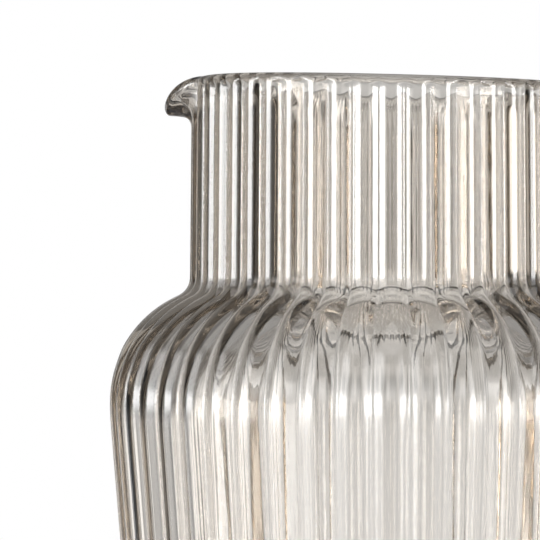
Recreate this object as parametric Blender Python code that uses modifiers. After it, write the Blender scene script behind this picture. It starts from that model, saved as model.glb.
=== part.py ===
"""Ribbed glass carafe with a pulled pouring lip. Metres, +Z up, foot on z = 0, lip towards -X."""

import math

import bpy

# Vessel, over the crests of the ribs
HEIGHT = 0.190
BODY_RADIUS = 0.04475
SHOULDER_ROUND = 0.0182
BODY_TAPER = math.radians(4.75)
NECK_RADIUS = 0.032
NECK_HEIGHT = 0.03225
NECK_DRAW = 0.0003
NECK_FILLET = 0.0030
HEEL_ROUND = 0.007

# Glass thickness and the foot
NECK_WALL = 0.0029
SHOULDER_WALL = 0.0025
BODY_WALL = 0.0018
FLOOR = 0.006
INNER_HEEL_ROUND = 0.009
INNER_NECK_FILLET = 0.0070
FOOT_RING = 0.006
PUNT_DEPTH = 0.0012
PUNT_SLOPE = 0.003

# Ribs
RIB_COUNT = 50
FACETS_PER_RIB = 4
RIB_DEPTH = 0.0010
INNER_RIB_DEPTH = 0.0004

# Rim ring and pouring lip
RIM_HEIGHT = 0.0026
RIM_SEAM = 0.00045
RIM_LIFT = 0.00027
RIM_TILT = 0.00086
RIM_SADDLE = 0.00032
LIP_ROOT = 0.00746
LIP_REACH = 0.0041
LIP_GATHER = 0.0004
LIP_BEND = math.radians(91.2)
LIP_SPREAD = math.radians(16.0)
LIP_ROUNDNESS = 1.85

# Direction of the lip, and of the rib crest in the middle of the front
LIP_ANGLE = math.pi
FRONT_ANGLE = -math.pi / 2

GLASS_COLOUR = (0.36, 0.34, 0.33, 1.0)
GLASS_IOR = 1.5


def arc(centre_r, centre_z, radius, start, end, count):
    """Points of an arc in the (radius, height) plane, both ends included."""
    points = []
    for i in range(count):
        a = start + (end - start) * i / (count - 1)
        points.append((centre_r + radius * math.cos(a), centre_z + radius * math.sin(a)))
    return points


def corner_fillet(neck_r, centre_r, centre_z, shoulder_r, fillet, count):
    """Arc that rounds the corner between the upright neck and the shoulder, from the neck downwards."""
    fr = neck_r + fillet
    fz = centre_z + math.sqrt((shoulder_r + fillet) ** 2 - (fr - centre_r) ** 2)
    touch = math.atan2(fz - centre_z, fr - centre_r)
    points = arc(fr, fz, fillet, math.pi, math.pi + touch, count)
    return points, touch


def shoulder_centre():
    """Centre of the shoulder's round, placed so that neck and shoulder meet at the foot of the neck."""
    centre_r = BODY_RADIUS - SHOULDER_ROUND
    rise = math.sqrt(SHOULDER_ROUND ** 2 - (NECK_RADIUS - centre_r) ** 2)
    return centre_r, HEIGHT - NECK_HEIGHT - rise


def shoulder(start, first_wall, last_wall, count):
    """Shoulder from the neck fillet to the body, set in by a wall that goes from one thickness to another."""
    centre_r, centre_z = shoulder_centre()
    points = []
    for i in range(1, count):
        share = i / (count - 1)
        a = start - (start + BODY_TAPER) * share
        wall = first_wall + (last_wall - first_wall) * share * share * (3.0 - 2.0 * share)
        radius = SHOULDER_ROUND - wall
        points.append((centre_r + radius * math.cos(a), centre_z + radius * math.sin(a)))
    return points


def wall_radius(z, inset):
    """Radius of the tapering body wall at height z, set in by inset square to the wall."""
    centre_r, centre_z = shoulder_centre()
    touch_r = centre_r + (SHOULDER_ROUND - inset) * math.cos(BODY_TAPER)
    touch_z = centre_z - (SHOULDER_ROUND - inset) * math.sin(BODY_TAPER)
    return touch_r - (touch_z - z) * math.tan(BODY_TAPER)


def heel(bottom_z, radius, inset, count):
    """Arc between the body wall and a flat bottom, from the wall down to the bottom."""
    centre_z = bottom_z + radius
    centre_r = wall_radius(centre_z, inset) - radius / math.cos(BODY_TAPER)
    return arc(centre_r, centre_z, radius, -BODY_TAPER, -math.pi / 2, count)


def lip_rows(radius, top):
    """Heights down the part of the neck that bends into the lip."""
    root = HEIGHT - LIP_ROOT
    return [(radius, root + (top - root) * share) for share in (1.0, 0.67, 0.33, 0.0)]


def vessel_profile():
    """Closed section of the vessel with the rib depth at each point: up the inside, down the outside."""
    centre_r, centre_z = shoulder_centre()
    edge = HEIGHT - RIM_HEIGHT - RIM_SEAM

    outer = lip_rows(NECK_RADIUS, edge)
    fillet, touch = corner_fillet(NECK_RADIUS, centre_r, centre_z, SHOULDER_ROUND, NECK_FILLET, 3)
    outer += fillet
    outer += shoulder(touch, 0.0, 0.0, 6)
    outer_heel = heel(0.0, HEEL_ROUND, 0.0, 3)
    ribbed = len(outer) + 1
    outer += outer_heel
    foot_r = outer_heel[-1][0]
    outer.append((foot_r - FOOT_RING, 0.0))
    outer.append((foot_r - FOOT_RING - PUNT_SLOPE, PUNT_DEPTH))
    outer.append((0.0, PUNT_DEPTH))

    inner_r = NECK_RADIUS - NECK_WALL
    inner_round = SHOULDER_ROUND - SHOULDER_WALL
    fillet, touch = corner_fillet(inner_r, centre_r, centre_z, inner_round, INNER_NECK_FILLET, 3)
    inner = lip_rows(inner_r, edge)
    inner += fillet
    inner += shoulder(touch, SHOULDER_WALL, BODY_WALL, 4)
    waved = len(inner) + 1
    inner += heel(FLOOR, INNER_HEEL_ROUND, BODY_WALL, 3)
    inner.append((0.0, FLOOR))

    points = inner[::-1] + outer
    inner_depths = [0.0] + [INNER_RIB_DEPTH] * (waved - 1) + [0.0] * (len(inner) - waved)
    outer_depths = [RIB_DEPTH] * ribbed + [0.0] * (len(outer) - ribbed)
    return points, inner_depths[::-1] + outer_depths


def rim_profile():
    """Closed section of the rim ring: flat below, domed above, down its outer side."""
    base = HEIGHT - RIM_HEIGHT
    half = NECK_WALL / 2
    dome = arc(NECK_RADIUS - half, HEIGHT - half, half, math.pi, 0.0, 5)
    points = [(NECK_RADIUS - NECK_WALL, base)] + dome + [(NECK_RADIUS, base)]
    return points, [0.0] * len(points)


def turned(name, points, depths, steps, closed):
    """Mesh turned from a section with the Screw modifier, its rib depths carried along as a vertex group."""
    mesh = bpy.data.meshes.new(name)
    count = len(points)
    edges = [(i, i + 1) for i in range(count - 1)]
    if closed:
        edges.append((count - 1, 0))
    mesh.from_pydata([(r, 0.0, z) for r, z in points], edges, [])
    obj = bpy.data.objects.new(name, mesh)
    bpy.context.scene.collection.objects.link(obj)
    group = obj.vertex_groups.new(name="ribs")
    for i, depth in enumerate(depths):
        group.add([i], depth / RIB_DEPTH, "REPLACE")

    screw = obj.modifiers.new("Turn", "SCREW")
    screw.axis = "Z"
    screw.angle = 2 * math.pi
    screw.steps = steps
    screw.render_steps = steps
    screw.use_merge_vertices = True
    screw.merge_threshold = 0.00001
    screw.use_normal_calculate = False

    view = bpy.context.evaluated_depsgraph_get()
    solid = bpy.data.meshes.new_from_object(obj.evaluated_get(view), depsgraph=view)
    obj.modifiers.clear()
    obj.data = solid
    bpy.data.meshes.remove(mesh)
    solid.name = name
    return obj


def rib_cut(angle, radius):
    """How far the surface lies below the rib crests: round ribs that meet in narrow grooves."""
    share = (angle - FRONT_ANGLE) * RIB_COUNT / (2 * math.pi)
    across = 2.0 * (share - round(share))
    return RIB_DEPTH * (radius / BODY_RADIUS) * across * across


def from_lip(angle):
    """Angle measured from the middle of the lip, between -pi and pi."""
    return math.remainder(angle - LIP_ANGLE, 2 * math.pi)


def drawn_in(radius, z):
    """Radius after the neck is drawn in towards the rim."""
    share = (z - HEIGHT + NECK_HEIGHT) / NECK_HEIGHT
    return radius - NECK_DRAW * min(1.0, max(0.0, share)) if radius > 0.0 else radius


def bent(radius, z, off_lip):
    """Point of the neck's wall after its top edge is bent outwards and down into the lip."""
    root = HEIGHT - LIP_ROOT
    if z <= root or abs(off_lip) >= LIP_SPREAD:
        return radius, z
    pull = math.cos(math.pi / 2 * off_lip / LIP_SPREAD) ** LIP_ROUNDNESS
    bend = LIP_BEND * pull
    if bend < 1e-4:
        return radius, z
    middle = NECK_RADIUS - NECK_WALL / 2
    free = LIP_ROOT - NECK_WALL / 2
    run = (z - root) * (1.0 - LIP_GATHER * pull / free)
    curve = LIP_REACH / bend
    turn = bend * min(1.0, run / LIP_REACH)
    beyond = max(0.0, run - LIP_REACH)
    side = radius - middle
    out = curve * (1.0 - math.cos(turn)) + beyond * math.sin(turn) + side * math.cos(turn)
    up = curve * math.sin(turn) + beyond * math.cos(turn) - side * math.sin(turn)
    return middle + out, root + up


def rim_lift(z, off_lip):
    """How far the neck is raised at height z: most at the rim's lip side, as the rim tilts and saddles."""
    share = min(1.0, max(0.0, z - HEIGHT + NECK_HEIGHT) / NECK_HEIGHT)
    return share * (RIM_LIFT + RIM_TILT * math.cos(off_lip) + RIM_SADDLE * math.cos(2 * off_lip))


def form(obj):
    """Cuts the ribs, draws in the neck, bends the lip and tilts the rim by moving the turned vertices."""
    for vertex in obj.data.vertices:
        x, y, z = vertex.co
        radius = math.hypot(x, y)
        angle = math.atan2(y, x)
        weight = sum(g.weight for g in vertex.groups)
        radius -= weight * rib_cut(angle, radius)
        off_lip = from_lip(angle)
        lift = rim_lift(z, off_lip)
        radius, z = bent(drawn_in(radius, z), z, off_lip)
        vertex.co = (radius * math.cos(angle), radius * math.sin(angle), z + lift)
    obj.data.update()


def glass():
    """Smoke-grey soda-lime glass."""
    material = bpy.data.materials.new("smoke_glass")
    material.use_nodes = True
    shader = material.node_tree.nodes["Principled BSDF"]
    shader.inputs["Base Color"].default_value = GLASS_COLOUR
    shader.inputs["Roughness"].default_value = 0.03
    shader.inputs["IOR"].default_value = GLASS_IOR
    shader.inputs["Transmission Weight"].default_value = 1.0
    return material


def add_part(name, section, steps, closed, collection, material):
    """One finished sub-part in its collection."""
    points, depths = section
    obj = turned(name, points, depths, steps, closed)
    form(obj)
    obj.data.materials.clear()
    obj.data.materials.append(material)
    for polygon in obj.data.polygons:
        polygon.use_smooth = True
    bpy.context.scene.collection.objects.unlink(obj)
    collection.objects.link(obj)


def main():
    for obj in list(bpy.data.objects):
        bpy.data.objects.remove(obj, do_unlink=True)
    collection = bpy.data.collections.new("ribbed_glass_carafe")
    bpy.context.scene.collection.children.link(collection)
    steps = RIB_COUNT * FACETS_PER_RIB
    material = glass()
    add_part("ribbed_vessel", vessel_profile(), steps, False, collection, material)
    add_part("lip_wrap", rim_profile(), steps, True, collection, material)


main()
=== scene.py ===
"""Ribbed, smoke-tinted glass carafe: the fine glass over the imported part, its finish and its studio."""

import math
from collections import namedtuple

import bpy
import numpy as np
from bpy.props import FloatProperty, FloatVectorProperty, IntProperty, PointerProperty
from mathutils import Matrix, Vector


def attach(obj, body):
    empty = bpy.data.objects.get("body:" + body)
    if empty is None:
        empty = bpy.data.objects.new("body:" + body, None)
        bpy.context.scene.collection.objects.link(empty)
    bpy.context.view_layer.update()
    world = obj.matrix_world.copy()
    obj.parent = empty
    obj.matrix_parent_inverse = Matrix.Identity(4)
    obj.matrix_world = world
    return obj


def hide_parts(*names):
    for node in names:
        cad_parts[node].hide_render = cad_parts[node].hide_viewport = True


bl_info = {
    "name": "Ribbed Glass Carafe",
    "version": (1, 0, 0),
    "blender": (4, 5, 0),
    "location": "View3D > Sidebar > Carafe",
    "description": "Models a ribbed, smoke-tinted glass carafe with a pulled pouring lip, and its studio",
    "category": "Object",
}

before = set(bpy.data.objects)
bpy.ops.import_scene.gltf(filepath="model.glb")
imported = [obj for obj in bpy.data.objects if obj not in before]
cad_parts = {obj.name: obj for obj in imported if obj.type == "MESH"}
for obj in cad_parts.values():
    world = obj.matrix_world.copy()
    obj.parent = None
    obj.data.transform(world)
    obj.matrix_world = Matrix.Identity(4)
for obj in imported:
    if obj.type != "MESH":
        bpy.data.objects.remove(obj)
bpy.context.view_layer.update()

MM = 0.001

# Direction of the pouring lip, and of the rib crest in the middle of the front
LIP_ANGLE = math.pi
FRONT_ANGLE = -math.pi / 2

# How hot glass rounds off the section: the joins of neck and shoulder, then the long end of the shoulder
SECTION_STEP = 0.1 * MM
SOFT_ENDS = 3.0 * MM
JOIN_SOFTNESS = 0.5 * MM
JOIN_LOWEST = 100.0 * MM
JOIN_BELOW_RIM = 12.0 * MM
SHOULDER_SOFTNESS = 2.2 * MM
SHOULDER_BELOW = 22.0 * MM
SHOULDER_ABOVE = 9.0 * MM

# Rows and columns of the mesh: degrees of turn for each row, and the rows' distance along the lip
OUTER_ROWS = (8.0, 0.8 * MM)
INNER_ROWS = (10.0, 1.0 * MM)
PLAIN_ROWS = 14.0 * MM
COLUMNS_PER_RIB = 12
COLUMN_GATHER = 0.6
AXIS_ROW = 8.0 * MM
TRIANGLE_LIMIT = 200000

# Where the ribs outside and the waves inside begin over the table, and where the waves end under the rim
RIB_FOOT = 1.0 * MM
RIB_FOOT_FADE = 7.0 * MM
WAVE_FOOT = 10.0 * MM
WAVE_FOOT_FADE = 10.0 * MM
WAVE_BELOW_RIM = 2.5 * MM
WAVE_RIM_FADE = 3.0 * MM

# Where the neck begins to narrow, and where it begins to lean with the rim, over the shoulder
DRAW_START = 1.0 * MM
LEAN_START = 4.0 * MM
LEAN_LIMIT = 1.1

# Marks of the mould on the glass: sizes of the pattern and height of the relief
STREAK_ROUND = 45.0 * MM
STREAK_LENGTH = 9.0 * MM
STREAK_RELIEF = 0.002 * MM
WAVE_LENGTH = 12.0 * MM
WAVE_RELIEF = 0.01 * MM

# Paper floor, just under the foot, which fades out between two distances from the middle: its pale grey round
# the carafe is also a painted pool of shade
FLOOR_RADIUS = 0.35
FLOOR_SIDES = 96
FLOOR_GAP = 0.0002
SHADE_POOL_FADE = (0.14, 0.33)

# Camera, close in front and level with the foot of the neck
CAMERA_PLACE = (0.0, -0.470, 0.158)
CAMERA_AIM = (-0.01933, 0.0, 0.1611)
CAMERA_SENSOR = 36.0
CAMERA_LENS = 197.75

# A panel of light as the glass sees it, in degrees: azimuth from straight behind the glass and to the right,
# half of its width, lowest and highest elevation and softness of its edges. A level of 1 is white paper.
Panel = namedtuple("Panel", "azimuth half low high soft level")


def linear(code):
    """Linear colour of an sRGB hex value."""
    out = []
    for i in (1, 3, 5):
        c = int(code[i:i + 2], 16) / 255.0
        out.append(c / 12.92 if c <= 0.04045 else ((c + 0.055) / 1.055) ** 2.4)
    return tuple(out)


def length(name, description, default):
    """A size in metres, shown in the scene's own unit."""
    return FloatProperty(name=name, description=description, default=default, min=0.0, unit="LENGTH",
                         precision=5)


def turn(name, description, degrees):
    """An angle, given here in degrees."""
    return FloatProperty(name=name, description=description, default=math.radians(degrees), subtype="ANGLE")


def colour(name, description, code):
    """A colour, given here as an sRGB hex value."""
    return FloatVectorProperty(name=name, description=description, default=linear(code), size=3,
                               subtype="COLOR", min=0.0, max=1.0)


class CarafeSizes(bpy.types.PropertyGroup):
    """Sizes of the glass, over the crests of the ribs."""

    height: length("Height", "Foot to rim, before the rim is tilted", 190.0 * MM)
    body_radius: length("Body radius", "Widest radius, below the shoulder", 44.75 * MM)
    shoulder_round: length("Shoulder round", "Radius of the shoulder's curve", 18.2 * MM)
    body_taper: turn("Body taper", "How much the wall leans in towards the foot", 4.75)
    neck_radius: length("Neck radius", "Radius at the foot of the neck", 32.0 * MM)
    neck_height: length("Neck height", "From the shoulder to the rim", 32.25 * MM)
    neck_draw: length("Neck draw", "How much narrower the neck is at the rim", 0.3 * MM)
    neck_fillet: length("Neck fillet", "Outside round where neck and shoulder meet", 3.0 * MM)
    inner_fillet: length("Inner fillet", "Inside round where neck and shoulder meet", 7.0 * MM)
    neck_wall: length("Neck wall", "Thickness of the glass at the neck", 2.9 * MM)
    shoulder_wall: length("Shoulder wall", "Thickness at the top of the shoulder", 2.5 * MM)
    body_wall: length("Body wall", "Thickness down the body", 1.8 * MM)
    heel_round: length("Heel round", "Radius between the wall and the foot", 7.0 * MM)
    inner_heel_round: length("Inner heel round", "Radius between the wall and the floor inside", 9.0 * MM)
    floor: length("Floor", "Height of the floor inside, over the table", 6.0 * MM)
    foot_ring: length("Foot ring", "Width of the flat ring it stands on", 6.0 * MM)
    punt_depth: length("Punt depth", "Depth of the hollow under the foot", 1.2 * MM)
    punt_slope: length("Punt slope", "Width of the slope into the hollow", 3.0 * MM)


class RibSizes(bpy.types.PropertyGroup):
    """The reeds that the mould leaves all round the glass."""

    count: IntProperty(name="Ribs", description="Ribs round the glass", default=50, min=8, max=90)
    depth: length("Rib depth", "Crest to groove at the widest part", 1.0 * MM)
    inner_depth: length("Inner depth", "Waves inside, which follow the ribs", 0.5 * MM)
    groove: FloatProperty(name="Groove width", description="Share of a rib that the groove's round takes",
                          default=0.035, min=0.01, max=0.4, subtype="FACTOR")
    inner_groove: FloatProperty(name="Inner groove width", description="The same for the waves inside",
                                default=0.1, min=0.01, max=0.4, subtype="FACTOR")
    plain_rim: length("Plain rim", "Smooth edge above the ribs", 0.4 * MM)
    fade: length("Fade", "Height over which the ribs run out under the rim", 1.5 * MM)


class LipSizes(bpy.types.PropertyGroup):
    """The pouring lip and the tilt of the rim."""

    spread: turn("Lip spread", "Half of the angle round the neck that the lip takes", 16.0)
    bend: turn("Lip bend", "How far the edge is turned over", 91.2)
    reach: length("Bend length", "Length of glass in the bend", 4.1 * MM)
    root: length("Lip root", "Height at which the bend begins", 182.54 * MM)
    gather: length("Gather", "Glass drawn back from the edge at the middle of the lip", 0.40 * MM)
    roundness: FloatProperty(name="Roundness", description="How quickly the bend falls off to the sides",
                             default=1.85, min=0.5, max=4.0)
    lift: length("Rim lift", "Mean rise of the rim over its nominal height", 0.27 * MM)
    tilt: length("Rim tilt", "Rise of the rim towards the lip", 0.855 * MM)
    saddle: length("Rim saddle", "Rise of the rim at the lip and opposite it", 0.32 * MM)


class GlassFinish(bpy.types.PropertyGroup):
    """Colour and surface of the glass."""

    tint: colour("Tint", "Colour that the smoke tint lets through", "#E4DFD8")
    strength: FloatProperty(name="Tint strength", description="Tint for each metre of glass",
                            default=380.0, min=0.0)
    ior: FloatProperty(name="IOR", description="Refraction of soda-lime glass",
                       default=1.52, min=1.0, max=2.0)
    roughness: FloatProperty(name="Roughness", description="Fire-polished glass is all but clear",
                             default=0.0, min=0.0, max=1.0, subtype="FACTOR")
    streak: length("Streak width", "Width of the faint streaks that the mould leaves", 0.5 * MM)


class StudioSettings(bpy.types.PropertyGroup):
    """Light round the glass, where 1 is white paper."""

    room: FloatProperty(name="Room", description="Dim studio beyond the lights", default=0.13, min=0.0)
    sweep: FloatProperty(name="Sweep", description="White sweep behind the glass", default=0.87, min=0.0)
    boxes: FloatProperty(name="Softboxes", description="Two softboxes beside the camera",
                         default=16.0, min=0.0)
    fill: FloatProperty(name="Fill", description="Broad light over the camera", default=3.6, min=0.0)
    # The paper's pale grey is its tone and, faded out round the carafe, also a painted pool of shade under
    # the glass
    paper: colour("Paper", "Colour of the floor", "#D6D6D6")


def eased(value):
    """Smooth step from 0 to 1."""
    t = np.clip(value, 0.0, 1.0)
    return t * t * (3.0 - 2.0 * t)


def arc(centre, radius, start, end, count):
    """Points of an arc in the (radius, height) plane, both ends included."""
    a = np.linspace(start, end, count)
    return np.stack([centre[0] + radius * np.cos(a), centre[1] + radius * np.sin(a)], 1)


def straight(first, last, count):
    """Points of a straight line, without its two ends."""
    t = np.linspace(0.0, 1.0, count + 2)[1:-1, None]
    return np.array(first)[None, :] * (1.0 - t) + np.array(last)[None, :] * t


def shoulder_centre(s):
    """Centre of the shoulder's curve."""
    r = s.body_radius - s.shoulder_round
    z = s.height - s.neck_height - math.sqrt(s.shoulder_round ** 2 - (s.neck_radius - r) ** 2)
    return r, z


def wall_section(s, inside):
    """Dense section of one side of the wall, from the top of the rim down to the foot or the floor."""
    half = s.neck_wall / 2
    cr, cz = shoulder_centre(s)
    neck = s.neck_radius - (s.neck_wall if inside else 0.0)
    fillet = s.inner_fillet if inside else s.neck_fillet
    first_wall = s.shoulder_wall if inside else 0.0
    last_wall = s.body_wall if inside else 0.0

    rim_end = math.pi if inside else 0.0
    rim = arc((s.neck_radius - half, s.height - half), half, math.pi / 2, rim_end, 24)
    start = s.shoulder_round - first_wall
    fr = neck + fillet
    fz = cz + math.sqrt((start + fillet) ** 2 - (fr - cr) ** 2)
    touch = math.atan2(fz - cz, fr - cr)
    upright = straight((neck, s.height - half), (neck, fz), 120)
    corner = arc((fr, fz), fillet, math.pi, math.pi + touch, 40)

    a = np.linspace(touch, -s.body_taper, 140)[1:]
    wall = first_wall + (last_wall - first_wall) * eased((touch - a) / (touch + s.body_taper))
    radius = s.shoulder_round - wall
    shoulder = np.stack([cr + radius * np.cos(a), cz + radius * np.sin(a)], 1)

    bottom = s.floor if inside else 0.0
    heel_round = s.inner_heel_round if inside else s.heel_round
    hz = bottom + heel_round
    last_r, last_z = shoulder[-1]
    hr = last_r - (last_z - hz) * math.tan(s.body_taper) - heel_round / math.cos(s.body_taper)
    heel = arc((hr, hz), heel_round, -s.body_taper, -math.pi / 2, 40)
    body = straight(shoulder[-1], heel[0], 300)
    return np.concatenate([rim, upright, corner, shoulder, body, heel])


def softened(points, reach, low, high):
    """Rounds off the joins of a section between two heights, as glass does while it is hot."""
    run = np.concatenate([[0.0], np.cumsum(np.hypot(*np.diff(points, axis=0).T))])
    even = np.arange(0.0, run[-1], SECTION_STEP)
    line = np.stack([np.interp(even, run, points[:, i]) for i in (0, 1)], 1)
    pad = int(4 * reach / SECTION_STEP)
    bell = np.exp(-0.5 * (np.arange(-pad, pad + 1) * SECTION_STEP / reach) ** 2)
    bell /= bell.sum()
    longer = np.concatenate([2 * line[0] - line[pad:0:-1], line, 2 * line[-1] - line[-2:-pad - 2:-1]])
    round_line = np.stack([np.convolve(longer[:, i], bell, "valid") for i in (0, 1)], 1)
    share = eased((line[:, 1] - low) / SOFT_ENDS) * eased((high - line[:, 1]) / SOFT_ENDS)
    return line * (1.0 - share[:, None]) + round_line * share[:, None]


def spaced(line, s, lip, degrees, lip_step):
    """Rows of a section: close where it turns and where the lip bends, wide on the straight."""
    step = np.diff(line, axis=0)
    run = np.hypot(step[:, 0], step[:, 1])
    bend = np.abs(np.gradient(np.unwrap(np.arctan2(step[:, 1], step[:, 0]))))
    z = line[:-1, 1]
    rim = s.height - s.neck_wall / 2
    neck_foot = s.height - s.neck_height
    shoulder = shoulder_centre(s)[1]
    # Closer rows between two heights: the lip, the neck under it, the foot of the neck, the rim, the shoulder
    closer = (
        (lip.root - 1.5 * MM, rim, lip_step),
        (lip.root - 6 * MM, lip.root - 1.5 * MM, 4 * MM),
        (neck_foot - 12 * MM, neck_foot + 4 * MM, 2 * MM),
        (s.height - 5.5 * MM, rim, 1.4 * lip_step),
        (shoulder - 14 * MM, shoulder + 9 * MM, 4.5 * lip_step),
    )
    weight = run / PLAIN_ROWS + bend / math.radians(degrees)
    for low, high, spacing in closer:
        weight += run / spacing * ((z > low) & (z < high))
    total = np.concatenate([[0.0], np.cumsum(weight)])
    marks = np.linspace(0.0, total[-1], int(round(total[-1])) + 1)
    return np.stack([np.interp(marks, total, line[:, i]) for i in (0, 1)], 1)


def glass_section(s, lip):
    """Rows of the whole section, up the inside and down the outside, and which of them are outside."""
    shoulder = shoulder_centre(s)[1]
    sides = []
    for inside, rows in ((False, OUTER_ROWS), (True, INNER_ROWS)):
        line = softened(wall_section(s, inside), JOIN_SOFTNESS, JOIN_LOWEST, s.height - JOIN_BELOW_RIM)
        line = softened(line, SHOULDER_SOFTNESS, shoulder - SHOULDER_BELOW, shoulder + SHOULDER_ABOVE)
        sides.append(spaced(line, s, lip, *rows))
    outer, inner = sides
    foot = outer[-1, 0]
    ring = foot - s.foot_ring
    punt = ring - s.punt_slope
    under = [
        (foot - s.foot_ring / 2, 0.0),
        (ring, 0.0),
        (ring - s.punt_slope / 2, s.punt_depth / 2),
        (punt, s.punt_depth),
        (AXIS_ROW, s.punt_depth),
        (0.0, s.punt_depth),
    ]
    outer = np.concatenate([outer, under])
    inner = np.concatenate([inner, [(AXIS_ROW, s.floor), (0.0, s.floor)]])
    points = np.concatenate([inner[::-1], outer[1:]])
    outside = np.concatenate([np.zeros(len(inner), bool), np.ones(len(outer) - 1, bool)])
    return points, outside


def reed(share, groove):
    """Height across a rib, 0 on its crest and -1 in the groove: a round back and a rounded groove."""
    n = np.arange(1, 40)[:, None]
    terms = (-1.0) ** n / n ** 2 * np.exp(-2.0 * (n * math.pi * groove) ** 2)

    def height(x):
        return -(terms * np.cos(n * math.pi * x[None, :])).sum(0)

    crest = height(np.array([0.0]))[0]
    base = height(np.array([1.0]))[0]
    return (height(2.0 * share - 1.0) - crest) / (crest - base)


def turned_section(name, points, steps):
    """Lays a circle's vertices on the section, opens it along the axis and spins it into a closed shell."""
    bpy.ops.object.select_all(action="DESELECT")
    bpy.ops.mesh.primitive_circle_add(vertices=len(points), radius=0.05, fill_type="NOTHING",
                                      location=(0, 0, 0))
    obj = bpy.context.active_object
    obj.name = name
    obj.data.name = name
    mesh = obj.data
    row = mesh.attributes.new("section_row", "FLOAT", "POINT")
    for i, vertex in enumerate(mesh.vertices):
        vertex.co = (points[i][0], 0.0, points[i][1])
        row.data[i].value = float(i)
        vertex.select = False
    last = len(points) - 1
    for edge in mesh.edges:
        edge.select = set(edge.vertices) == {0, last}
        if edge.select:
            for v in edge.vertices:
                mesh.vertices[v].select = True
    bpy.ops.object.mode_set(mode="EDIT")
    bpy.ops.mesh.select_mode(type="EDGE")
    bpy.ops.mesh.delete(type="EDGE")
    bpy.ops.mesh.select_mode(type="VERT")
    bpy.ops.mesh.select_all(action="SELECT")
    bpy.ops.mesh.spin(steps=steps, angle=2 * math.pi, center=(0, 0, 0), axis=(0, 0, 1), use_auto_merge=True)
    bpy.ops.mesh.select_all(action="SELECT")
    bpy.ops.mesh.remove_doubles(threshold=1e-6)
    bpy.ops.mesh.normals_make_consistent(inside=False)
    bpy.ops.object.mode_set(mode="OBJECT")
    return obj


def pressed_ribs(points, outside, row, angle, s, ribs):
    """Radius and height of each vertex, with the ribs pressed in square to the wall."""
    along = np.gradient(points, axis=0)
    along /= np.hypot(along[:, 0], along[:, 1])[:, None] + 1e-12
    out_r = np.where(outside, -along[:, 1], along[:, 1])
    out_z = np.where(outside, along[:, 0], -along[:, 0])

    z = points[:, 1]
    size = np.clip(points[:, 0] / s.body_radius, 0.0, 1.0)
    outer_part = eased((s.height - ribs.plain_rim - z) / ribs.fade) * eased((z - RIB_FOOT) / RIB_FOOT_FADE)
    inner_part = eased((s.height - WAVE_BELOW_RIM - z) / WAVE_RIM_FADE)
    inner_part *= eased((z - WAVE_FOOT) / WAVE_FOOT_FADE)
    depth = np.where(outside, ribs.depth * outer_part, ribs.inner_depth * inner_part) * size

    share = ((angle - FRONT_ANGLE) / (2 * math.pi) * ribs.count + 0.5) % 1.0
    shape = np.where(outside[row], reed(share, ribs.groove), reed(share, ribs.inner_groove))
    press = depth[row] * shape
    return points[row, 0] + press * out_r[row], points[row, 1] + press * out_z[row]


def bent_lip(radius, z, off, s, lip):
    """Turns the rim over into the pouring lip, most in its middle and not at all beyond its spread."""
    share = np.clip(np.abs(off) / lip.spread, 0.0, 1.0)
    pull = np.maximum(np.cos(math.pi / 2 * share), 0.0) ** lip.roundness
    bend = np.maximum(lip.bend * pull, 1e-6)
    middle = s.neck_radius - s.neck_wall / 2
    free = s.height - s.neck_wall / 2 - lip.root
    run = (z - lip.root) * (1.0 - lip.gather * pull / free)
    swing = bend * np.clip(run / lip.reach, 0.0, 1.0)
    beyond = np.maximum(0.0, run - lip.reach)
    curve = lip.reach / bend
    side = radius - middle
    lip_r = middle + curve * (1 - np.cos(swing)) + beyond * np.sin(swing) + side * np.cos(swing)
    lip_z = lip.root + curve * np.sin(swing) + beyond * np.cos(swing) - side * np.sin(swing)
    bent = (z > lip.root) & (pull > 1e-4)
    return np.where(bent, lip_r, radius), np.where(bent, lip_z, z)


def form_glass(obj, points, outside, s, ribs, lip):
    """Presses the ribs into the turned shell, draws the neck in, turns the lip over and tilts the rim."""
    mesh = obj.data
    count = len(mesh.vertices)
    co = np.empty(count * 3)
    mesh.vertices.foreach_get("co", co)
    co = co.reshape(-1, 3)
    row = np.empty(count)
    mesh.attributes["section_row"].data.foreach_get("value", row)
    row = np.rint(row).astype(int)
    angle = np.arctan2(co[:, 1], co[:, 0])
    # The spin's even columns gather at the grooves, where the reeds turn sharply
    pitch = 2 * math.pi / ribs.count
    from_groove = (angle - FRONT_ANGLE) / pitch + 0.5
    angle = angle - COLUMN_GATHER * pitch / (2 * math.pi) * np.sin(2 * math.pi * from_groove)

    radius, z = pressed_ribs(points, outside, row, angle, s, ribs)
    over_foot = z - (s.height - s.neck_height)
    drawn = np.clip((over_foot - DRAW_START) / (s.neck_height - DRAW_START), 0.0, 1.0)
    radius = radius - s.neck_draw * drawn * (radius > 0)

    off = (angle - LIP_ANGLE + math.pi) % (2 * math.pi) - math.pi
    radius, bent_z = bent_lip(radius, z, off, s, lip)
    lean = np.clip((over_foot - LEAN_START) / (s.neck_height - LEAN_START), 0.0, LEAN_LIMIT)
    rise = lean * (lip.lift + lip.tilt * np.cos(off) + lip.saddle * np.cos(2 * off))
    moved = np.stack([radius * np.cos(angle), radius * np.sin(angle), bent_z + rise], 1)
    mesh.vertices.foreach_set("co", moved.ravel())
    mesh.attributes.remove(mesh.attributes["section_row"])
    mesh.update()


def add_node(tree, kind, settings=None, values=None, links=None):
    """Adds a node to a tree with its settings, the values of its sockets and the links into it."""
    node = tree.nodes.new(kind)
    for name, value in (settings or {}).items():
        setattr(node, name, value)
    for socket, value in (values or {}).items():
        node.inputs[socket].default_value = value
    for socket, source in (links or {}).items():
        tree.links.new(source, node.inputs[socket])
    return node


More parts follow.
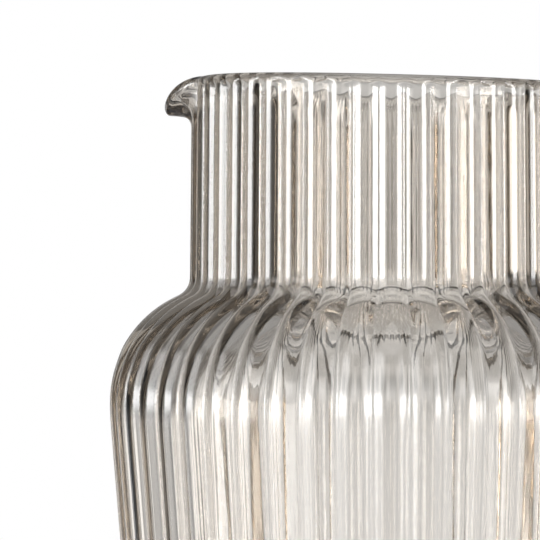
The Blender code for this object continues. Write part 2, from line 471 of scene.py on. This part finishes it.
def smoke_glass(finish):
    """Smoke-tinted soda-lime glass, mould-blown and fire-polished.

    The tint sits in the thickness, so rims and grooves go dark and thin walls stay pale. The mould leaves
    faint upright streaks and a slow waviness, which break up the reflections along each rib.
    """
    material = bpy.data.materials.new("smoke_tinted_mould_blown_soda_lime_glass")
    material.use_nodes = True
    tree = material.node_tree
    shader = tree.nodes["Principled BSDF"]
    output = tree.nodes["Material Output"]
    shader.inputs["Base Color"].default_value = (1.0, 1.0, 1.0, 1.0)
    shader.inputs["Transmission Weight"].default_value = 1.0
    shader.inputs["Roughness"].default_value = finish.roughness
    shader.inputs["IOR"].default_value = finish.ior

    # Streaks about 0.5 mm wide at the body, which run along the ribs, and waves of about 12 mm
    place = add_node(tree, "ShaderNodeTexCoord").outputs["Object"]
    axes = add_node(tree, "ShaderNodeSeparateXYZ", links={"Vector": place}).outputs
    round_axis = add_node(tree, "ShaderNodeMath", {"operation": "ARCTAN2"},
                          links={0: axes["Y"], 1: axes["X"]})
    across = add_node(tree, "ShaderNodeMath", {"operation": "MULTIPLY"}, {1: STREAK_ROUND / finish.streak},
                      {0: round_axis.outputs[0]})
    upward = add_node(tree, "ShaderNodeMath", {"operation": "MULTIPLY"}, {1: 1 / STREAK_LENGTH},
                      {0: axes["Z"]})
    along = add_node(tree, "ShaderNodeCombineXYZ", links={"X": across.outputs[0], "Z": upward.outputs[0]})
    streaks = add_node(tree, "ShaderNodeTexNoise", values={"Scale": 1.0, "Detail": 2.0},
                       links={"Vector": along.outputs["Vector"]})
    waves = add_node(tree, "ShaderNodeTexNoise", values={"Scale": 1 / WAVE_LENGTH, "Detail": 1.0},
                     links={"Vector": place})
    slow = add_node(tree, "ShaderNodeBump", values={"Strength": 1.0, "Distance": WAVE_RELIEF},
                    links={"Height": waves.outputs["Fac"]})
    fine = add_node(tree, "ShaderNodeBump", values={"Strength": 1.0, "Distance": STREAK_RELIEF},
                    links={"Height": streaks.outputs["Fac"], "Normal": slow.outputs["Normal"]})
    tree.links.new(fine.outputs["Normal"], shader.inputs["Normal"])

    body = add_node(tree, "ShaderNodeVolumeAbsorption", values={"Density": finish.strength})
    body.inputs["Color"].default_value = (*finish.tint, 1.0)
    tree.links.new(body.outputs["Volume"], output.inputs["Volume"])
    return material


def ceiling_and_table():
    """Dim ceiling, lit over the camera, and pale table, dark behind the glass."""
    return (
        Panel(azimuth=0.0, half=200.0, low=18.0, high=100.0, soft=6.0, level=0.3),
        Panel(azimuth=180.0, half=80.0, low=46.0, high=100.0, soft=8.0, level=2.5),
        Panel(azimuth=0.0, half=200.0, low=-100.0, high=-12.0, soft=6.0, level=0.7),
        Panel(azimuth=0.0, half=55.0, low=-100.0, high=-12.0, soft=8.0, level=0.2),
    )


def back_sweep(sweep):
    """White sweep behind the glass, its lower part and its bright middle, its upper edge and a dull spot."""
    return (
        Panel(azimuth=8.0, half=38.0, low=-2.0, high=9.0, soft=4.0, level=sweep),
        Panel(azimuth=-4.0, half=34.0, low=-11.0, high=0.0, soft=4.0, level=0.83 * sweep),
        Panel(azimuth=1.0, half=15.0, low=-13.0, high=-2.0, soft=4.0, level=1.04 * sweep),
        Panel(azimuth=4.0, half=44.0, low=4.3, high=14.0, soft=1.0, level=0.6),
        Panel(azimuth=2.0, half=9.0, low=-1.0, high=3.5, soft=2.0, level=0.5),
    )


def right_card():
    """Card to the right of the glass, darker at its foot and bright in the middle."""
    return (
        Panel(azimuth=74.0, half=28.0, low=-3.0, high=10.0, soft=5.0, level=0.85),
        Panel(azimuth=74.0, half=28.0, low=-14.0, high=-3.0, soft=5.0, level=0.5),
        Panel(azimuth=76.0, half=14.0, low=-6.0, high=8.0, soft=4.0, level=2.4),
    )


def camera_side(fill):
    """Dim wall round the camera, paler above it, with the fill light."""
    return (
        Panel(azimuth=180.0, half=52.0, low=-45.0, high=12.0, soft=8.0, level=0.3),
        Panel(azimuth=180.0, half=46.0, low=12.0, high=42.0, soft=7.0, level=0.5),
        Panel(azimuth=-174.0, half=24.0, low=10.0, high=24.0, soft=7.0, level=fill),
    )


def table_glow():
    """Light that the softboxes and small low cards throw on the table, to the left and to the right."""
    return (
        Panel(azimuth=-108.0, half=22.0, low=-26.0, high=0.0, soft=6.0, level=1.6),
        Panel(azimuth=-64.0, half=10.0, low=-15.0, high=-3.0, soft=4.0, level=0.55),
        Panel(azimuth=-42.0, half=8.0, low=-15.0, high=-3.0, soft=4.0, level=1.3),
        Panel(azimuth=-91.0, half=10.0, low=-15.0, high=-3.0, soft=4.0, level=2.5),
        Panel(azimuth=132.0, half=16.0, low=-26.0, high=0.0, soft=6.0, level=1.2),
    )


def softboxes(boxes):
    """Softbox to the left and to the right of the camera: their glow, their cloth and their bright middle."""
    return (
        Panel(azimuth=-118.0, half=20.0, low=-8.0, high=40.0, soft=9.0, level=0.34 * boxes),
        Panel(azimuth=131.0, half=15.0, low=-8.0, high=38.0, soft=9.0, level=0.25 * boxes),
        Panel(azimuth=-112.0, half=15.0, low=-4.0, high=18.0, soft=6.0, level=0.5 * boxes),
        Panel(azimuth=131.0, half=12.0, low=-4.0, high=18.0, soft=6.0, level=0.5 * boxes),
        Panel(azimuth=-115.0, half=16.0, low=-1.0, high=10.0, soft=4.0, level=1.1 * boxes),
        Panel(azimuth=129.0, half=13.0, low=-1.0, high=10.0, soft=4.0, level=boxes),
    )


def sight_through(sweep):
    """What shows straight through the glass: a pale near side, pale sides, the table and the ceiling."""
    return (
        Panel(azimuth=180.0, half=64.0, low=-100.0, high=60.0, soft=8.0, level=sweep),
        Panel(azimuth=180.0, half=100.0, low=-100.0, high=-6.0, soft=5.0, level=sweep),
        Panel(azimuth=-52.0, half=32.0, low=-17.0, high=-2.0, soft=4.0, level=1.15 * sweep),
        Panel(azimuth=58.0, half=26.0, low=-17.0, high=-2.0, soft=4.0, level=sweep),
        Panel(azimuth=0.0, half=200.0, low=-34.0, high=-14.0, soft=5.0, level=0.6),
        Panel(azimuth=0.0, half=200.0, low=20.0, high=100.0, soft=8.0, level=0.3),
    )


def studio_direction(tree):
    """Azimuth from the back of the set, to the right, and elevation of a ray, both in degrees."""
    place = add_node(tree, "ShaderNodeTexCoord").outputs["Generated"]
    axes = add_node(tree, "ShaderNodeSeparateXYZ", links={"Vector": place}).outputs
    turn_angle = add_node(tree, "ShaderNodeMath", {"operation": "ARCTAN2"},
                          links={0: axes["X"], 1: axes["Y"]})
    rise_angle = add_node(tree, "ShaderNodeMath", {"operation": "ARCSINE"}, links={0: axes["Z"]})
    angles = []
    for node in (turn_angle, rise_angle):
        degrees = add_node(tree, "ShaderNodeMath", {"operation": "DEGREES"}, links={0: node.outputs[0]})
        angles.append(degrees.outputs[0])
    return angles


def hang(tree, ray, below, panel):
    """Hangs a panel over what is below it and gives the light of both."""
    apart = add_node(tree, "ShaderNodeMath", {"operation": "SUBTRACT"}, {1: panel.azimuth}, {0: ray[0]})
    nearest = add_node(tree, "ShaderNodeMath", {"operation": "WRAP"}, {1: 180.0, 2: -180.0},
                       {0: apart.outputs[0]})
    aside = add_node(tree, "ShaderNodeMath", {"operation": "ABSOLUTE"}, links={0: nearest.outputs[0]})
    soft = panel.soft
    cover = None
    for angle, outer, inner in (
        (aside.outputs[0], panel.half + soft, panel.half - soft),
        (ray[1], panel.low - soft, panel.low + soft),
        (ray[1], panel.high + soft, panel.high - soft),
    ):
        edge = add_node(tree, "ShaderNodeMapRange", {"interpolation_type": "SMOOTHSTEP"},
                        {1: outer, 2: inner}, {0: angle}).outputs[0]
        if cover is None:
            cover = edge
        else:
            cover = add_node(tree, "ShaderNodeMath", {"operation": "MULTIPLY"},
                             links={0: cover, 1: edge}).outputs[0]
    mixed = add_node(tree, "ShaderNodeMix", {"data_type": "FLOAT"}, {"B": panel.level},
                     {"Factor": cover, "A": below})
    return mixed.outputs[0]


def studio_world(look):
    """White to the camera, a plain dome to the floor, and to the glass a dim studio with its lights."""
    world = bpy.data.worlds.new("soft_studio")
    bpy.context.scene.world = world
    world.use_nodes = True
    tree = world.node_tree
    tree.nodes.clear()
    ray = studio_direction(tree)
    level = add_node(tree, "ShaderNodeMath", {"operation": "ADD"}, {0: look.room, 1: 0.0}).outputs[0]
    for panel in (
        *ceiling_and_table(),
        *back_sweep(look.sweep),
        *right_card(),
        *camera_side(look.fill),
        *table_glow(),
        *softboxes(look.boxes),
    ):
        level = hang(tree, ray, level, panel)

    # Straight through the glass the lights are out of sight, and nothing is brighter than white paper
    behind = level
    for panel in sight_through(look.sweep):
        behind = hang(tree, ray, behind, panel)
    behind = add_node(tree, "ShaderNodeMath", {"operation": "MINIMUM"}, {1: 1.0}, {0: behind}).outputs[0]

    path = add_node(tree, "ShaderNodeLightPath").outputs
    mirrored = add_node(tree, "ShaderNodeMath", {"operation": "GREATER_THAN"}, {1: 0.5},
                        {0: path["Glossy Depth"]})
    in_glass = add_node(tree, "ShaderNodeMix", {"data_type": "FLOAT"},
                        links={"Factor": mirrored.outputs[0], "A": behind, "B": level})
    bounced = add_node(tree, "ShaderNodeMath", {"operation": "GREATER_THAN"}, {1: 0.5},
                       {0: path["Diffuse Depth"]})
    plain = add_node(tree, "ShaderNodeMath", {"operation": "MAXIMUM"},
                     links={0: path["Is Camera Ray"], 1: bounced.outputs[0]})
    seen = add_node(tree, "ShaderNodeMix", {"data_type": "FLOAT"}, {"B": 1.0},
                    {"Factor": plain.outputs[0], "A": in_glass.outputs[0]})
    light = add_node(tree, "ShaderNodeBackground", values={"Color": (1.0, 1.0, 1.0, 1.0)},
                     links={"Strength": seen.outputs[0]})
    add_node(tree, "ShaderNodeOutputWorld", links={"Surface": light.outputs[0]})


def paper_floor_with_painted_shade(look):
    """Matt paper: it keeps the shadow under the glass, and its pale grey, the paper's tone, runs out into the
    white background round the carafe, so it is also a painted pool of shade under the glass.
    """
    material = bpy.data.materials.new("paper_with_painted_shade_pool")
    material.use_nodes = True
    tree = material.node_tree
    tree.nodes.clear()
    place = add_node(tree, "ShaderNodeTexCoord").outputs["Object"]
    away = add_node(tree, "ShaderNodeVectorMath", {"operation": "LENGTH"}, links={0: place})
    # Painted shade: the grey paper fades into the white background away from the middle, leaving a darker
    # pool under the glass
    edge = add_node(tree, "ShaderNodeMapRange", {"interpolation_type": "SMOOTHSTEP"},
                    {1: SHADE_POOL_FADE[0], 2: SHADE_POOL_FADE[1]}, {0: away.outputs["Value"]})
    matt = add_node(tree, "ShaderNodeBsdfDiffuse", values={"Color": (*look.paper, 1.0)})
    clear = add_node(tree, "ShaderNodeBsdfTransparent")
    both = add_node(tree, "ShaderNodeMixShader",
                    links={0: edge.outputs[0], 1: matt.outputs[0], 2: clear.outputs[0]})
    add_node(tree, "ShaderNodeOutputMaterial", links={"Surface": both.outputs[0]})
    return material


class CARAFE_OT_glass(bpy.types.Operator):
    """Model the ribbed glass with its rim and pouring lip, as one piece of glass"""

    bl_idname = "carafe.glass"
    bl_label = "Ribbed Glass"

    def execute(self, context):
        scene = context.scene
        points, outside = glass_section(scene.carafe_sizes, scene.carafe_lip)
        obj = turned_section("ribbed_glass", points, scene.carafe_ribs.count * COLUMNS_PER_RIB)
        form_glass(obj, points, outside, scene.carafe_sizes, scene.carafe_ribs, scene.carafe_lip)
        bpy.ops.object.shade_smooth()
        if sum(len(p.vertices) - 2 for p in obj.data.polygons) >= TRIANGLE_LIMIT:
            raise RuntimeError("the glass has too many triangles")
        obj.data.materials.clear()
        obj.data.materials.append(smoke_glass(scene.carafe_finish))
        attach(obj, "root")
        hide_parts("ribbed_vessel", "lip_wrap")
        return {"FINISHED"}


class CARAFE_OT_stage(bpy.types.Operator):
    """Lay the paper floor, light the studio and set up the camera"""

    bl_idname = "carafe.stage"
    bl_label = "Stage"

    def execute(self, context):
        scene = context.scene
        look = scene.carafe_studio
        bpy.ops.object.select_all(action="DESELECT")
        bpy.ops.mesh.primitive_circle_add(vertices=FLOOR_SIDES, radius=FLOOR_RADIUS, fill_type="NGON",
                                          location=(0, 0, 0))
        floor = context.active_object
        floor.name = "paper_floor_with_painted_shade"
        floor.data.materials.append(paper_floor_with_painted_shade(look))
        bpy.ops.object.mode_set(mode="EDIT")
        bpy.ops.transform.translate(value=(0, 0, -FLOOR_GAP))
        bpy.ops.object.mode_set(mode="OBJECT")
        studio_world(look)

        bpy.ops.object.camera_add(location=CAMERA_PLACE)
        camera = context.active_object
        aim = Vector(CAMERA_AIM) - camera.location
        camera.rotation_euler = aim.to_track_quat("-Z", "Y").to_euler()
        camera.data.sensor_width = CAMERA_SENSOR
        camera.data.lens = CAMERA_LENS
        scene.camera = camera
        scene.view_settings.view_transform = "Standard"
        return {"FINISHED"}


class CARAFE_PT_panel(bpy.types.Panel):
    """Sizes, finish and steps of the carafe."""

    bl_label = "Ribbed Carafe"
    bl_idname = "CARAFE_PT_panel"
    bl_space_type = "VIEW_3D"
    bl_region_type = "UI"
    bl_category = "Carafe"

    def draw(self, context):
        layout = self.layout
        scene = context.scene
        for name in GROUPS:
            group = getattr(scene, name)
            box = layout.box()
            for key in group.__annotations__:
                box.prop(group, key)
        layout.operator("carafe.glass")
        layout.operator("carafe.stage")


GROUPS = {
    "carafe_sizes": CarafeSizes,
    "carafe_ribs": RibSizes,
    "carafe_lip": LipSizes,
    "carafe_finish": GlassFinish,
    "carafe_studio": StudioSettings,
}
STEPS = (CARAFE_OT_glass, CARAFE_OT_stage, CARAFE_PT_panel)


def register():
    for name, group in GROUPS.items():
        bpy.utils.register_class(group)
        setattr(bpy.types.Scene, name, PointerProperty(type=group))
    for step in STEPS:
        bpy.utils.register_class(step)


def unregister():
    for step in reversed(STEPS):
        bpy.utils.unregister_class(step)
    for name, group in reversed(list(GROUPS.items())):
        delattr(bpy.types.Scene, name)
        bpy.utils.unregister_class(group)


def main():
    register()
    bpy.ops.carafe.glass()
    bpy.ops.carafe.stage()


if __name__ == "__main__":
    main()
